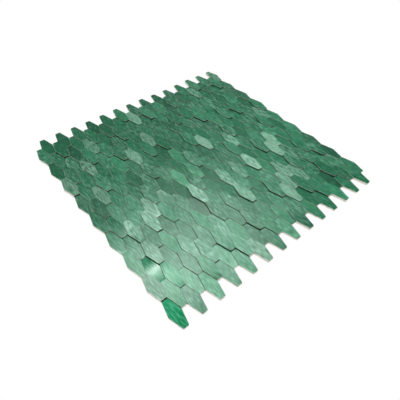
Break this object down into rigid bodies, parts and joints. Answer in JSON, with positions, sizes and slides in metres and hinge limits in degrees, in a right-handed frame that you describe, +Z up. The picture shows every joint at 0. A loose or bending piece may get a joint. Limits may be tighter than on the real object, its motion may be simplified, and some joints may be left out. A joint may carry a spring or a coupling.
{
  "type": "self-adhesive mosaic tile",
  "caption": "Flat sheet of long hexagonal green brushed-metal chips in three thicknesses on one adhesive film, with toothed edges that close up with the next sheet.",
  "frame": {"origin": "under the middle of the sheet, on its adhesive face", "axes": "+Z up out of the lacquered faces, +Y along the length of the chips, +X across the columns"},
  "size_m": [0.2964, 0.299, 0.0041],
  "materials": {
    "lacquered_aluminium": "brushed under clear green lacquer, satin gloss, with dark cut sides",
    "adhesive_film": "matt tacky film"
  },
  "bodies": {
    "root": {"thin_chips": "lacquered_aluminium", "middle_chips": "lacquered_aluminium", "thick_chips": "lacquered_aluminium", "adhesive_backing": "adhesive_film"}
  },
  "joints": []
}
